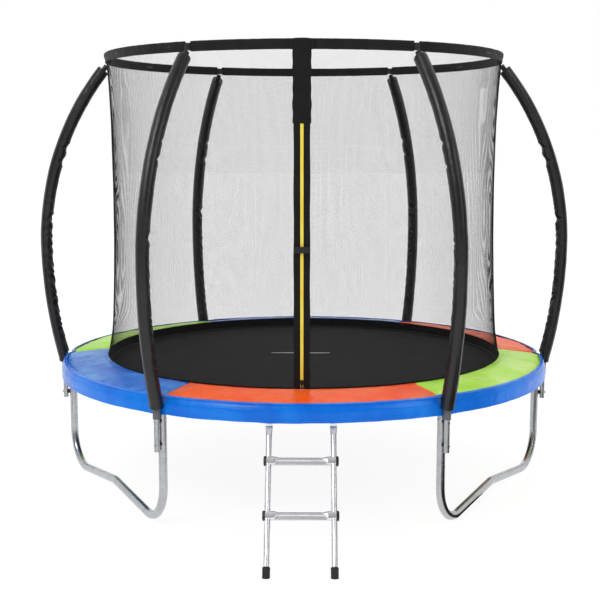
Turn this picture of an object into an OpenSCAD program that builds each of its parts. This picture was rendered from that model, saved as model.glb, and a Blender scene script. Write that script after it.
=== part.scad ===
// Round garden trampoline with an enclosure of six bowed poles, a net with a
// zipped door, six pad panels, a jumping mat on springs and a hook-on ladder.
// Millimetres. Origin on the ground at the centre, +Z up, the door faces -Y.

/* [Frame] */
// Radius of the round frame, to the middle of its tube
frame_r = 1208; // [1150:1:1260]
// Height of the frame tube's middle
frame_z = 553; // [520:1:600]
// Outer diameter of the frame and leg tubes
tube_d = 38; // [32:1:42]
// Wall thickness of every steel tube
tube_wall = 1.5; // [1:0.1:2.5]
// Bottom of the sockets that hang under the frame
socket_bottom = 480; // [440:1:500]

/* [Legs] */
// Height of the joint between a leg post and its leg base
leg_joint_z = 264; // [220:1:300]
// Bend radius at the foot of each leg, to the middle of the tube
leg_bend_r = 173; // [140:1:190]
// Angle at which the leg bases rise to their middle
leg_bar_slope = 6; // [3:0.5:8]

/* [Poles] */
// Diameter of the pole tubes
pole_d = 25; // [20:1:28]
// Diameter of the foam sleeves
foam_d = 62; // [50:1:70]
// Greatest distance from the middle to a pole
pole_apex_r = 1325; // [1300:1:1340]
// Height at which a pole is farthest out
pole_apex_z = 1160; // [1100:5:1200]
// Radius of a pole's lower curve
pole_low_r = 2350; // [2200:10:2600]
// Radius of a pole's upper curve
pole_up_r = 1400; // [1390:5:1420]

/* [Net] */
// Radius of the hoop at the top of the net
hoop_r = 985; // [980:1:990]
// Height of the hoop
hoop_z = 2088; // [2085:1:2090]
// Thickness that stands in for the netting
net_t = 1.5; // [1:0.1:3]

/* [Mat and pads] */
// Radius of the jumping mat
mat_r = 1030; // [1020:1:1035]
// Height of the mat's top face
mat_z = 576; // [572:1:578]
// Number of springs
spring_count = 48; // [36:12:48]
// Inner radius of the pad ring
pad_in_r = 1007; // [1006:1:1015]
// Outer radius of the skirt
skirt_r = 1237; // [1236:1:1240]

/* [Ladder] */
// Distance between the ladder's rails
ladder_w = 268; // [240:1:300]
// Distance from the middle to the ladder's feet
ladder_reach = 1614; // [1560:1:1640]
// Diameter of the ladder's rails
rail_d = 26; // [22:1:28]

/* [Hidden] */
$fn = 64;

sides = 6;
step = 360 / sides;
gap = 0.3;
// Hairline left where the straight and bent stretches of one tube meet
seam = 0.02;
steel = [0.78, 0.79, 0.8];
black = [0.1, 0.1, 0.11];
orange = [0.95, 0.36, 0.2];
blue = [0.02, 0.42, 0.85];
green = [0.64, 0.81, 0.28];

// Azimuth of leg or pole number n, counted from the right side
function azimuth(n) = (n - 1) * step;
tube_r = tube_d / 2;

// Frame rail joints and sockets
spigot_r = tube_r - tube_wall - gap;
spigot_len = 60;
screw_r = 3;

// Leg posts
post_spigot = 40;

// Leg bases, in the plane of two uprights
leg_span = 2 * frame_r * sin(step / 2);
leg_bend_z = tube_r + leg_bend_r;
hump_bend_r = 100;
bar_x0 = leg_bend_r + leg_bend_r * sin(leg_bar_slope);
bar_z0 = leg_bend_z - leg_bend_r * cos(leg_bar_slope);
bar_x1 = leg_span / 2 - hump_bend_r * sin(leg_bar_slope);
bar_len = (bar_x1 - bar_x0) / cos(leg_bar_slope);
bar_z1 = bar_z0 + bar_len * sin(leg_bar_slope);

// Poles, in the radial plane: a straight foot, a small bend and two long curves
pole_r = pole_d / 2;
pole_foot_z = 355;
pole_bend_r = 150;
pole_lean = 14.26;
pole_x = pole_apex_r - (pole_low_r + pole_bend_r) * (1 - cos(pole_lean));
pole_bend_z = pole_apex_z - (pole_low_r + pole_bend_r) * sin(pole_lean);
pole_tip_z = 2062;
cap_low_z = 2071;
pole_up_angle = asin((pole_tip_z - pole_apex_z) / pole_up_r);
foam_top_z = 2042;
foam_up_angle = asin((foam_top_z - pole_apex_z) / pole_up_r);
foam_start = 9;
collar_r = 16.5;
collar_low_z = 500;
spacer_z = [385, 488];
bolt_r = 3;

// Hoop and net
rod_r = 4;
ferrule_r = 6;
sleeve_h = 44;
sleeve_t = 10;
sleeve_gap = 2.4;
net_panels = 18;
hem_r = 1004;
hem_t = 3;
hem_low_z = mat_z + 1.5;
hem_top_z = 622;
// Net radius and height, from the hem up to the hoop
net_line = [
    [hem_r, hem_top_z], [995, 655], [985, 705], [979, 780], [970, 985],
    [964, 1190], [962.6, 1450], [967, 1780], [976, 1980], [984, hoop_z - sleeve_h / 2]
];

// Door: everything on it lies along one straight, slightly tilted line
door_low = [1006, 630];
door_top = [985.5, 2060];
door_len = norm(door_top - door_low);
door_tilt = atan((door_low[0] - door_top[0]) / (door_top[1] - door_low[1]));
tape_w = 71;
tape_t = 2;
zip_w = 13.6;
flap_w = 79;
flap_low_z = 1755;
slider_z = 16;
buckle_z = 592;
buckle_off = 5.5;

// Springs, rings and mat
mat_t = 2;
spring_r = 8;
ring_out = 1052;
spring_in = 1054;
spring_out = 1187;
spring_drop = atan((mat_z - frame_z) / (spring_out - spring_in));
spring_in_z = mat_z - 2;

// Pads and skirt
pad_out_r = 1231;
pad_in_top = 619;
pad_out_top = 593;
pad_under = 16;
skirt_low_z = 517;
skirt_t = 1.5;
pole_notch_r = foam_d / 2 + 1;

// Ladder, in the plane of a rail
hook_in = 21.5;
hook_t = 3.5;
hook_w = 30;
ladder_x = ladder_w / 2;
hook_y = -sqrt(frame_r * frame_r - ladder_x * ladder_x);
strap_y = hook_y - hook_in - hook_t / 2;
kink_z = 505;
rail_r = rail_d / 2;
foot_h = 40;
rail_end = 16;
foot_r = 16;
lean = atan((ladder_reach + strap_y) / kink_z);
rail_len = kink_z / cos(lean);
strap_clear = hook_t / 2 * sin(lean) + 5 * seam;
rung_at = [0.39, 0.756];
rung_r = 10;
cuff_h = 37;
cuff_t = 2;

// Ring-shaped cross-section of a tube
module ring_profile(r_out, r_in) {
    difference() {
        circle(r = r_out);
        circle(r = r_in);
    }
}

// Straight tube along +Z
module tube(h, r_out, r_in) {
    difference() {
        cylinder(r = r_out, h = h);
        translate([0, 0, -1]) cylinder(r = r_in, h = h + 2);
    }
}

// Bent tube in the XZ plane, from angle a0 to a1 about the point c
module bend(c, r, a0, a1, r_out, r_in) {
    translate([c[0], 0, c[1]]) rotate([90, 0, 0]) rotate([0, 0, a0])
        rotate_extrude(angle = a1 - a0, $fn = 180)
            translate([r, 0]) ring_profile(r_out, r_in);
}

// Band between two radii and two heights over part of a turn
module arc_band(r_in, r_out, z0, z1, a0, a1) {
    rotate([0, 0, a0]) rotate_extrude(angle = a1 - a0, $fn = 180)
        translate([r_in, z0]) square([r_out - r_in, z1 - z0]);
}

// Children once at each pole, turned to face outwards
module at_poles() {
    for (n = [1 : sides]) rotate([0, 0, azimuth(n)]) children();
}

// Children on the two rails of the ladder
module at_rails() {
    for (side = [-1, 1]) translate([side * ladder_x, 0, 0]) children();
}

// One sixth of the round frame, with its leg socket and its joining spigot
module frame_rail(n) {
    color(steel) rotate([0, 0, azimuth(n) - step / 2]) {
        difference() {
            union() {
                translate([0, 0, frame_z])
                    rotate_extrude(angle = step - 0.02, $fn = 180)
                        translate([frame_r, 0]) circle(r = tube_r);
                rotate([0, 0, step / 2]) translate([frame_r, 0, socket_bottom])
                    cylinder(r = tube_r, h = frame_z - socket_bottom);
            }
            translate([0, 0, frame_z]) rotate([0, 0, -1])
                rotate_extrude(angle = step + 2, $fn = 180)
                    translate([frame_r, 0]) circle(r = tube_r - tube_wall);
            rotate([0, 0, step / 2]) translate([frame_r, 0, socket_bottom - 1])
                cylinder(r = tube_r - tube_wall, h = frame_z - socket_bottom - tube_r + 5);
        }
        translate([0, 0, frame_z])
            rotate([0, 0, -spigot_len / frame_r * 180 / PI])
                rotate_extrude(angle = 2 * spigot_len / frame_r * 180 / PI, $fn = 180)
                    translate([frame_r, 0]) ring_profile(spigot_r, spigot_r - tube_wall);
    }
}

// Post between a leg base and the frame, with a reduced spigot at each end
module leg_post(n) {
    post_h = socket_bottom - leg_joint_z - gap;
    color(steel) rotate([0, 0, azimuth(n)]) translate([frame_r, 0, leg_joint_z]) {
        tube(post_h, tube_r, spigot_r - tube_wall);
        translate([0, 0, -post_spigot])
            tube(post_h + 2 * post_spigot, spigot_r, spigot_r - tube_wall);
    }
}

// Bent tube that joins two leg posts along the ground; n is its first post
module leg_base(n) {
    r_in = tube_r - tube_wall;
    color("gainsboro") rotate([0, 0, azimuth(n)]) translate([frame_r, 0, 0])
        rotate([0, 0, 90 + step / 2]) {
            for (end = [0, 1])
                translate([end * leg_span, 0, 0]) mirror([end, 0, 0]) {
                    translate([0, 0, leg_bend_z + seam])
                        tube(leg_joint_z - leg_bend_z - gap - seam, tube_r, r_in);
                    bend([leg_bend_r, leg_bend_z], leg_bend_r,
                        180, 270 + leg_bar_slope, tube_r, r_in);
                    translate([bar_x0, 0, bar_z0]) rotate([0, 90 - leg_bar_slope, 0])
                        translate([0, 0, seam]) tube(bar_len - 2 * seam, tube_r, r_in);
                }
            bend([leg_span / 2, bar_z1 - hump_bend_r * cos(leg_bar_slope)], hump_bend_r,
                90 - leg_bar_slope, 90 + leg_bar_slope, tube_r, r_in);
        }
}

// Lower pole tubes: straight foot, small outward bend and the lower curve
module pole_lower() {
    r_in = pole_r - tube_wall;
    color(steel) at_poles() {
        translate([pole_x, 0, pole_foot_z])
            tube(pole_bend_z - pole_foot_z - seam, pole_r, r_in);
        bend([pole_x + pole_bend_r, pole_bend_z], pole_bend_r,
            180 - pole_lean + seam, 180, pole_r, r_in);
        bend([pole_apex_r - pole_low_r, pole_apex_z], pole_low_r,
            -pole_lean, -0.01, pole_r, r_in);
    }
}

// Upper pole tube: the upper curve, with the liner that joins it to the lower tube
module pole_upper(n) {
    liner = pole_r - tube_wall - gap;
    color([0.2, 0.2, 0.21]) rotate([0, 0, azimuth(n)]) {
        bend([pole_apex_r - pole_up_r, pole_apex_z], pole_up_r,
            0, pole_up_angle, pole_r, pole_r - tube_wall);
        bend([pole_apex_r - pole_low_r, pole_apex_z], pole_low_r,
            -1.4, 0.9, liner, liner - tube_wall);
    }
}

// Foam sleeve over a pole
module pole_foam(n) {
    r_in = pole_r + gap;
    color(black) rotate([0, 0, azimuth(n)]) {
        bend([pole_x + pole_bend_r, pole_bend_z], pole_bend_r,
            180 - pole_lean + seam, 180 - foam_start, foam_d / 2, r_in);
        bend([pole_apex_r - pole_low_r, pole_apex_z], pole_low_r,
            -pole_lean, 0, foam_d / 2, r_in);
        bend([pole_apex_r - pole_up_r, pole_apex_z], pole_up_r,
            seam / 10, foam_up_angle, foam_d / 2, r_in);
    }
}

// Plastic collars that close the foot of each foam sleeve
module pole_collars() {
    color([0.32, 0.32, 0.33]) at_poles() translate([pole_x, 0, collar_low_z])
        tube(pole_bend_z - collar_low_z, collar_r, pole_r + gap);
}

// Plastic caps that carry the hoop on the pole tips
module pole_caps() {
    color(black) at_poles() translate([hoop_r, 0, cap_low_z]) difference() {
        cylinder(r = 15, h = 31);
        translate([0, 40, hoop_z - cap_low_z]) rotate([90, 0, 0])
            cylinder(r = ferrule_r, h = 80);
    }
}

// Saddle spacers between each pole foot and its leg post or socket
module pole_spacers() {
    color(black) at_poles() for (z = spacer_z)
        translate([frame_r, 0, z]) rotate([0, 90, 0]) difference() {
            cylinder(r = 11, h = pole_x - frame_r);
            translate([-20, 0, 0]) rotate([0, 90, 0])
                cylinder(r = tube_r + 0.1, h = 40);
            translate([-20, 0, pole_x - frame_r]) rotate([0, 90, 0])
                cylinder(r = pole_r + 0.1, h = 40);
            translate([0, 0, -1]) cylinder(r = bolt_r + 0.2, h = pole_x - frame_r + 2);
        }
}

// Bolt heads outside the pole feet, and nuts on the inner side of the posts
module pole_bolts() {
    color(steel) at_poles() for (z = spacer_z) {
        translate([pole_x + pole_r + 0.1, 0, z]) rotate([0, 90, 0]) {
            cylinder(r = 6, h = 1);
            cylinder(r = 5, h = 4, $fn = 6);
        }
        translate([frame_r - tube_r - 5, 0, z]) rotate([0, 90, 0])
            cylinder(r = 5, h = 4.8, $fn = 6);
    }
}

// Screw heads that lock the leg posts in the frame sockets
module socket_screws() {
    color(steel) at_poles() for (side = [-1, 1])
        translate([frame_r, side * (tube_r + 0.1), socket_bottom + 14])
            rotate([-side * 90, 0, 0]) cylinder(r1 = 2 * screw_r, r2 = screw_r, h = 3);
}

// Hoop rods with the ferrules that join them midway between the poles
module hoop_rods() {
    color([0.75, 0.75, 0.72]) at_poles() translate([0, 0, hoop_z]) {
        rotate([0, 0, -step / 2]) rotate_extrude(angle = step - 0.05, $fn = 180)
            translate([hoop_r, 0]) circle(r = rod_r);
        rotate([0, 0, -step / 2 - 1.5]) rotate_extrude(angle = 1.4, $fn = 180)
            translate([hoop_r, 0]) circle(r = ferrule_r);
        rotate([0, 0, -step / 2 + 0.05]) rotate_extrude(angle = 1.4, $fn = 180)
            translate([hoop_r, 0]) circle(r = ferrule_r);
    }
}

// Fabric sleeve over the hoop, open at each pole, in three lengths a side
module hoop_sleeve() {
    turn = (step - 2 * sleeve_gap) / 3;
    color(black) for (n = [1 : sides]) for (k = [0 : 2])
        rotate([0, 0, azimuth(n) + sleeve_gap + k * turn])
        rotate_extrude(angle = turn - 0.03, $fn = 180) difference() {
            translate([hoop_r - sleeve_t / 2 - 2, hoop_z - sleeve_h / 2])
                square([sleeve_t + 4, sleeve_h]);
            translate([hoop_r, hoop_z]) circle(r = ferrule_r + gap);
        }
}

// Netting, as narrow upright panels that together make the whole round
module net_wall() {
    turn = 360 / net_panels;
    top = len(net_line) - 1;
    inner = [for (k = [top : -1 : 0]) [net_line[k][0] - net_t, net_line[k][1]]];
    color([0.25, 0.25, 0.26]) for (n = [0 : net_panels - 1])
        rotate([0, 0, (n - 0.5) * turn - 90 + 0.03])
            rotate_extrude(angle = turn - 0.06, $fn = 180)
                polygon(concat(net_line, inner));
}

// Solid hem at the foot of the net, in the same lengths as the net panels
module net_hem() {
    turn = 360 / net_panels;
    color(black) for (n = [0 : net_panels - 1])
        arc_band(hem_r - hem_t / 2, hem_r + hem_t / 2, hem_low_z, hem_top_z - gap,
            (n - 0.5) * turn - 90, (n + 0.5) * turn - 90.03);
}

// Children in the door's own frame: X across, -Y outwards, Z up its line
module on_door() {
    translate([0, -door_low[0], door_low[1]]) rotate([-door_tilt, 0, 0]) children();
}

// Two fabric tapes that carry the zip
module door_tapes() {
    w = (tape_w - zip_w) / 2 - gap;
    color(black) on_door() for (side = [-1, 1])
        translate([side * (zip_w / 2 + gap + w / 2) - w / 2, -tape_t, -4])
            cube([w, tape_t, door_len + 4]);
}

// Zip chain between the tapes
module door_zip() {
    color([1, 0.88, 0.27]) on_door()
        translate([-zip_w / 2, -tape_t, -4]) cube([zip_w, tape_t, door_len + 4]);
}

// Wider flap that covers the top of the zip and wraps over the hoop sleeve
module door_flap() {
    flap_y = -hoop_r - sleeve_t / 2 - 2 - 3 - gap;
    color(black) translate([-flap_w / 2, flap_y, flap_low_z])
        cube([flap_w, 3, hoop_z + sleeve_h / 2 + 3 - flap_low_z]);
}

// Zip slider with its pull, at the foot of the zip
module zip_slider() {
    color([0.16, 0.16, 0.17]) on_door() {
        translate([0, -tape_t - gap, slider_z]) {
            rotate([90, 0, 0]) linear_extrude(height = 3.5)
                offset(r = 2) square([9, 18], center = true);
            translate([0, -3.5, 0]) rotate([90, 0, 0]) linear_extrude(height = 2) difference() {
                offset(r = 1.5) translate([-3, -22]) square([6, 26]);
                translate([0, -17]) circle(r = 2);
            }
        }
    }
}

// Fixed half of the door's side-release buckle, on a short strap
module buckle_socket() {
    color(black) on_door() translate([0, -tape_t - gap, buckle_z]) {
        translate([-34, -buckle_off - 9, -12]) cube([10, buckle_off + 9, 24]);
        translate([-26, -buckle_off - 11.5, -14]) difference() {
            cube([27, 11, 28]);
            translate([13, 3, 4]) cube([15, 5, 20]);
        }
    }
}

// Sliding half of the buckle, with its prongs inside the socket
module buckle_tongue() {
    color(black) on_door() translate([0, -tape_t - gap, buckle_z]) {
        translate([24, -buckle_off - 9, -12]) cube([10, 9, 24]);
        translate([1.5, -buckle_off - 11.5, -14]) cube([23, 11, 28]);
        for (z = [-9, 5]) translate([-11, -buckle_off - 8, z]) cube([13, 4, 4]);
    }
}

// Jumping mat
module mat() {
    color([0.14, 0.14, 0.15]) translate([0, 0, mat_z - mat_t])
        cylinder(r = mat_r, h = mat_t, $fn = 180);
}

// Azimuth of spring number n; none stands at a pole or a ladder hook
function spring_azimuth(n) = (n + 0.5) * 360 / spring_count;

// Triangular steel rings sewn to the edge of the mat
module v_rings() {
    color(steel) for (n = [0 : spring_count - 1]) rotate([0, 0, spring_azimuth(n)])
        translate([0, 0, mat_z - mat_t / 2 - 2]) linear_extrude(height = 4) difference() {
            polygon([[mat_r + gap, -17], [ring_out, -3], [ring_out, 3], [mat_r + gap, 17]]);
            polygon([[mat_r + 4, -9], [ring_out - 5, 0], [mat_r + 4, 9]]);
        }
}

// Springs between the rings and the frame, as the space that their coils fill
module springs() {
    len = (spring_out - spring_in) / cos(spring_drop);
    color(steel) for (n = [0 : spring_count - 1]) rotate([0, 0, spring_azimuth(n)])
        translate([spring_in, 0, spring_in_z]) rotate([0, 90 + spring_drop, 0])
            cylinder(r = spring_r, h = len, $fn = 24);
}

// One pad panel; first is the azimuth of its right-hand seam
module pad(first, tint, notches) {
    color(tint) difference() {
        rotate([0, 0, first + 0.03]) rotate_extrude(angle = step - 0.06, $fn = 180)
            polygon([
                [pad_in_r, pad_in_top - pad_under], [pad_in_r + 6, pad_in_top],
                [pad_out_r - 6, pad_out_top], [pad_out_r, pad_out_top - 5],
                [pad_out_r, pad_out_top - pad_under]
            ]);
        for (end = [0, 1]) rotate([0, 0, first + end * step])
            translate([pole_x + 2, 0, pad_out_top - 40]) cylinder(r = pole_notch_r, h = 80);
        if (notches) at_rails()
            translate([-hook_w / 2 - 2, hook_y - 40, frame_z])
                cube([hook_w + 4, 70, pad_out_top - pad_under - frame_z + 2]);
    }
}

// Hanging skirt between two azimuths, notched at the poles
module skirt_arc(a0, a1) {
    color(blue) difference() {
        arc_band(skirt_r - skirt_t, skirt_r, skirt_low_z, pad_out_top, a0 + 0.03, a1 - 0.03);
        at_poles() translate([pole_x, 0, skirt_low_z - 10])
            cylinder(r = collar_r + 1, h = pad_out_top - skirt_low_z + 20);
        at_poles() translate([pole_x + 2, 0, pole_bend_z])
            cylinder(r = pole_notch_r, h = 80);
    }
}

// Ladder rail: tube, flattened top and hook over the frame
module ladder_rail(side) {
    color(steel) translate([side * ladder_x, 0, 0]) {
        translate([-hook_w / 2, hook_y, frame_z]) rotate([90, 0, 90])
            rotate([0, 0, -15]) rotate_extrude(angle = 195, $fn = 96)
                translate([hook_in, 0]) square([hook_t, hook_w]);
        translate([-hook_w / 2, strap_y - hook_t / 2, kink_z + strap_clear])
            cube([hook_w, hook_t, frame_z - kink_z - strap_clear - seam]);
        translate([0, strap_y, kink_z]) rotate([180 - lean, 0, 0]) {
            hull() {
                translate([-hook_w / 2, -hook_t / 2, 0]) cube([hook_w, hook_t, 2]);
                translate([0, 0, 44]) cylinder(r = rail_r, h = 1, $fn = 32);
            }
            translate([0, 0, 45 + 5 * seam])
                tube(rail_len - 45 - rail_end, rail_r, rail_r - tube_wall);
        }
    }
}

// Children at distance t (0 at the foot, 1 at the kink) up the ladder's slope
module on_ladder(t) {
    translate([0, -ladder_reach + (strap_y + ladder_reach) * t, kink_z * t])
        rotate([-lean, 0, 0]) children();
}

// Ladder rung: a tube with a cuff at each end that goes round the rail
module ladder_rung(t) {
    color(steel) on_ladder(t) difference() {
        union() {
            translate([-ladder_x, 0, 0]) rotate([0, 90, 0])
                cylinder(r = rung_r, h = ladder_w);
            at_rails() translate([0, 0, -cuff_h / 2])
                cylinder(r = rail_r + gap + cuff_t, h = cuff_h);
        }
        at_rails() translate([0, 0, -cuff_h]) cylinder(r = rail_r + gap / 2, h = 2 * cuff_h);
    }
}

// Rubber feet of the ladder, cut level where they stand
module ladder_feet() {
    color(black) intersection() {
        at_rails() on_ladder(0) difference() {
            translate([0, 0, -20]) cylinder(r = foot_r, h = foot_h + 20);
            translate([0, 0, rail_end - gap]) cylinder(r = rail_r + gap / 2, h = foot_h);
        }
        translate([-ladder_w, -ladder_reach - 100, 0]) cube([2 * ladder_w, 300, 200]);
    }
}

// Plastic end caps on the outer sides of the rung cuffs
module ladder_caps() {
    out = rail_r + gap + cuff_t + 0.1;
    color(black) for (t = rung_at) on_ladder(t) for (side = [-1, 1])
        translate([side * (ladder_x + out + 2.5), 0, 0])
            cube([5, 24, cuff_h], center = true);
}

frame_rail(1);  // frame_rail_1
frame_rail(2);  // frame_rail_2
frame_rail(3);  // frame_rail_3
frame_rail(4);  // frame_rail_4
frame_rail(5);  // frame_rail_5
frame_rail(6);  // frame_rail_6
leg_base(4);  // leg_base_left
leg_base(6);  // leg_base_right
leg_base(2);  // leg_base_back
leg_post(1);  // leg_post_1
leg_post(2);  // leg_post_2
leg_post(3);  // leg_post_3
leg_post(4);  // leg_post_4
leg_post(5);  // leg_post_5
leg_post(6);  // leg_post_6
pole_lower();
pole_upper(1);  // pole_upper_1
pole_upper(2);  // pole_upper_2
pole_upper(3);  // pole_upper_3
pole_upper(4);  // pole_upper_4
pole_upper(5);  // pole_upper_5
pole_upper(6);  // pole_upper_6
pole_foam(1);  // pole_foam_1
pole_foam(2);  // pole_foam_2
pole_foam(3);  // pole_foam_3
pole_foam(4);  // pole_foam_4
pole_foam(5);  // pole_foam_5
pole_foam(6);  // pole_foam_6
pole_collars();
pole_caps();
pole_spacers();
pole_bolts();
socket_screws();
hoop_rods();
hoop_sleeve();
net_wall();
net_hem();
door_tapes();
door_zip();
door_flap();
zip_slider();
buckle_socket();
buckle_tongue();
mat();
v_rings();
springs();
pad(240, orange, true);  // pad_front
pad(180, blue, false);  // pad_front_left
pad(120, green, false);  // pad_back_left
pad(60, blue, false);  // pad_back
pad(0, orange, false);  // pad_back_right
pad(300, green, false);  // pad_front_right
skirt_arc(-60, 240);  // skirt
skirt_arc(240, 300);  // skirt_front
ladder_rail(-1);  // ladder_rail_left
ladder_rail(1);  // ladder_rail_right
ladder_rung(rung_at[0]);  // ladder_rung_lower
ladder_rung(rung_at[1]);  // ladder_rung_upper
ladder_feet();
ladder_caps();
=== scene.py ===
import math

import bmesh
import bpy
import numpy as np
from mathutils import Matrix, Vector, noise


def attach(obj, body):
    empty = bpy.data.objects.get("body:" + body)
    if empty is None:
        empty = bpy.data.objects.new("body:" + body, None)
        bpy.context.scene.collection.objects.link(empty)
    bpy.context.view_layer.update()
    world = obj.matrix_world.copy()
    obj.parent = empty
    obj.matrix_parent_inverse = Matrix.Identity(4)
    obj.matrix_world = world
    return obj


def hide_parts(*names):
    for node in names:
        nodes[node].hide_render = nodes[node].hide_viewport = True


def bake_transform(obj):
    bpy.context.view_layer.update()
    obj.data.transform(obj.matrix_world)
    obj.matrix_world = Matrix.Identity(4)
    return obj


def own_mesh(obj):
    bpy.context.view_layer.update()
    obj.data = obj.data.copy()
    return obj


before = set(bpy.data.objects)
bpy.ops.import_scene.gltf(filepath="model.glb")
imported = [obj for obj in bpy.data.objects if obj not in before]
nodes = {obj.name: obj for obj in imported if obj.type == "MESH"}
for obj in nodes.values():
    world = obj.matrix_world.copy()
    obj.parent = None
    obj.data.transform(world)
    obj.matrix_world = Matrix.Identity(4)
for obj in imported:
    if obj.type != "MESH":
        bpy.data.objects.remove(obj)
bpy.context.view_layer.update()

sixth = 60.0  # degrees between poles
poleAzimuths = [sixth * n for n in range(6)]
doorAzimuth = 270.0

# camera

cameraSet = {"place": (0.043, -5.871, 1.673), "tiltDown": 7.800, "turn": 0.600, "lens": 68.53, "sensor": 36}

cameraData = bpy.data.cameras.new("camera")
cameraData.lens, cameraData.sensor_width = cameraSet["lens"], cameraSet["sensor"]
camera = bpy.data.objects.new("camera", cameraData)
camera.location = cameraSet["place"]
camera.rotation_euler = (math.radians(90 - cameraSet["tiltDown"]), 0, math.radians(cameraSet["turn"]))
bpy.context.scene.collection.objects.link(camera)
bpy.context.scene.camera = camera
print("camera set")

# helpers for materials


def paint(red, green, blue):  # a colour as it shows on a screen, made linear
    shown = [part / 255 for part in (red, green, blue)]
    parts = [part / 12.92 if part <= 10 / 255 else ((part + 0.055) / 1.055) ** 2.4 for part in shown]
    return (*parts, 1)


def node(mat, kind, inputs=None, **settings):
    made = mat.node_tree.nodes.new("ShaderNode" + kind)
    for key, value in settings.items():
        setattr(made, key, value)
    for key, value in (inputs or {}).items():
        if isinstance(value, bpy.types.NodeSocket):
            mat.node_tree.links.new(value, made.inputs[key])
        else:
            made.inputs[key].default_value = value
    return made


def newFinish(name, **look):
    mat = bpy.data.materials.new(name)
    mat.use_nodes = True
    surface = mat.node_tree.nodes["Principled BSDF"]
    for key, value in look.items():
        surface.inputs[key.replace("_", " ")].default_value = value
    return mat, surface


def objectPlace(mat):
    return node(mat, "TexCoord").outputs["Object"]


def layPlace(mat):  # along and across the cloth, in metres
    return node(mat, "Attribute", attribute_name="lay").outputs["Vector"]


def cloud(mat, place, scale, detail=4.0, rough=0.55, stretch=(1, 1, 1)):
    moved = node(mat, "Mapping", {"Vector": place, "Scale": stretch}).outputs["Vector"]
    look = {"Vector": moved, "Scale": scale, "Detail": detail, "Roughness": rough}
    return node(mat, "TexNoise", look).outputs["Fac"]


def tint(mat, fac, stops):
    ramp = node(mat, "ValToRGB", {"Fac": fac})
    marks = ramp.color_ramp.elements
    marks[0].position, marks[0].color = stops[0]
    marks[1].position, marks[1].color = stops[-1]
    for position, colour in stops[1:-1]:
        marks.new(position).color = colour
    return ramp.outputs["Color"]


def shade(mat, surface, fac, *stops):  # each stop is a place on the ramp and a colour as shown
    link(mat, tint(mat, fac, [(at, paint(*colour)) for at, colour in stops]), surface, "Base Color")


def roughen(mat, surface, fac, low, high):
    look = {"Value": fac, "From Min": 0.3, "From Max": 0.7, "To Min": low, "To Max": high}
    link(mat, node(mat, "MapRange", look).outputs["Result"], surface, "Roughness")


def maths(mat, kind, first, second):
    return node(mat, "Math", {0: first, 1: second}, operation=kind).outputs["Value"]


def ribs(mat, place, pitch, direction):  # a wave of that pitch in metres
    look = {"Vector": place, "Scale": 0.1 * math.pi / pitch}
    return node(mat, "TexWave", look, bands_direction=direction).outputs["Fac"]


def relief(mat, surface, *layers):  # each layer is (height, strength, depth in metres)
    normal = None
    for height, strength, depth in layers:
        inputs = {"Height": height, "Strength": strength, "Distance": depth}
        if normal is not None:
            inputs["Normal"] = normal
        normal = node(mat, "Bump", inputs).outputs["Normal"]
    mat.node_tree.links.new(normal, surface.inputs["Normal"])


def link(mat, output, surface, key):
    mat.node_tree.links.new(output, surface.inputs[key])


# finishes

steelLook = {"pale": (186, 188, 191), "dark": (170, 172, 176), "smooth": 0.25, "rough": 0.32}
vinylLook = {"smooth": 0.26, "rough": 0.42, "scrimPitch": 0.0016}


def makeSteel(name, pale, dark, smooth, rough, grain=70):
    mat, surface = newFinish(name, Metallic=1.0)
    place = objectPlace(mat)
    spangle = node(mat, "TexVoronoi", {"Vector": place, "Scale": grain}).outputs["Color"]
    flake = node(mat, "RGBToBW", {"Color": spangle}).outputs["Val"]
    streak = cloud(mat, place, 22, 5, stretch=(1, 1, 0.25))
    mixed = maths(mat, "MULTIPLY_ADD", flake, 0.3)
    mixed.node.inputs[2].default_value = 0.0
    both = maths(mat, "ADD", mixed, maths(mat, "MULTIPLY", streak, 0.7))
    shade(mat, surface, both, (0.25, dark), (0.6, pale))
    roughen(mat, surface, both, rough, smooth)
    relief(mat, surface, (cloud(mat, place, 260, 3), 0.03, 0.0006))
    return mat


def makeVinyl(name, colour, paintedSheen, deep, smooth, rough, scrimPitch, glaze=0.05, shine=0.22):
    mat, surface = newFinish(name, Coat_Weight=glaze, Coat_Roughness=0.25, Specular_IOR_Level=shine)
    place, lay = objectPlace(mat), layPlace(mat)
    wearAndSheen = cloud(mat, place, 3.2, 5, 0.62)
    # the worn cloud spreads the deep tone at random, and the faded colour is a painted sheen: lighter
    # patches that stand in for highlights
    shade(mat, surface, wearAndSheen, (0.34, deep), (0.48, colour), (0.62, paintedSheen))
    roughen(mat, surface, cloud(mat, place, 14, 4), smooth, rough)
    scrim = maths(mat, "MULTIPLY", ribs(mat, lay, scrimPitch, "X"), ribs(mat, lay, scrimPitch, "Y"))
    streaks = cloud(mat, lay, 24, 4, 0.6, stretch=(0.3, 1, 1))
    crumple = cloud(mat, place, 26, 4, 0.6)
    relief(mat, surface, (streaks, 0.5, 0.006), (crumple, 0.3, 0.004), (scrim, 0.14, 0.0006))
    return mat


def makeCloth(name, colour, deep, weavePitch, rough=0.85, sheen=0.1, across=1.0, shine=0.2):
    mat, surface = newFinish(name, Roughness=rough, Sheen_Weight=sheen, Sheen_Roughness=0.5,
                             Specular_IOR_Level=shine)
    place, lay = objectPlace(mat), layPlace(mat)
    wearAndSheen = cloud(mat, place, 9, 6, 0.65)
    shade(mat, surface, wearAndSheen, (0.3, deep), (0.7, colour))
    weave = maths(mat, "ADD", ribs(mat, lay, weavePitch, "X"), ribs(mat, lay, weavePitch * across, "Y"))
    relief(mat, surface, (cloud(mat, place, 30, 4), 0.25, 0.003), (weave, 0.3, 0.0008))
    return mat


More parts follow.
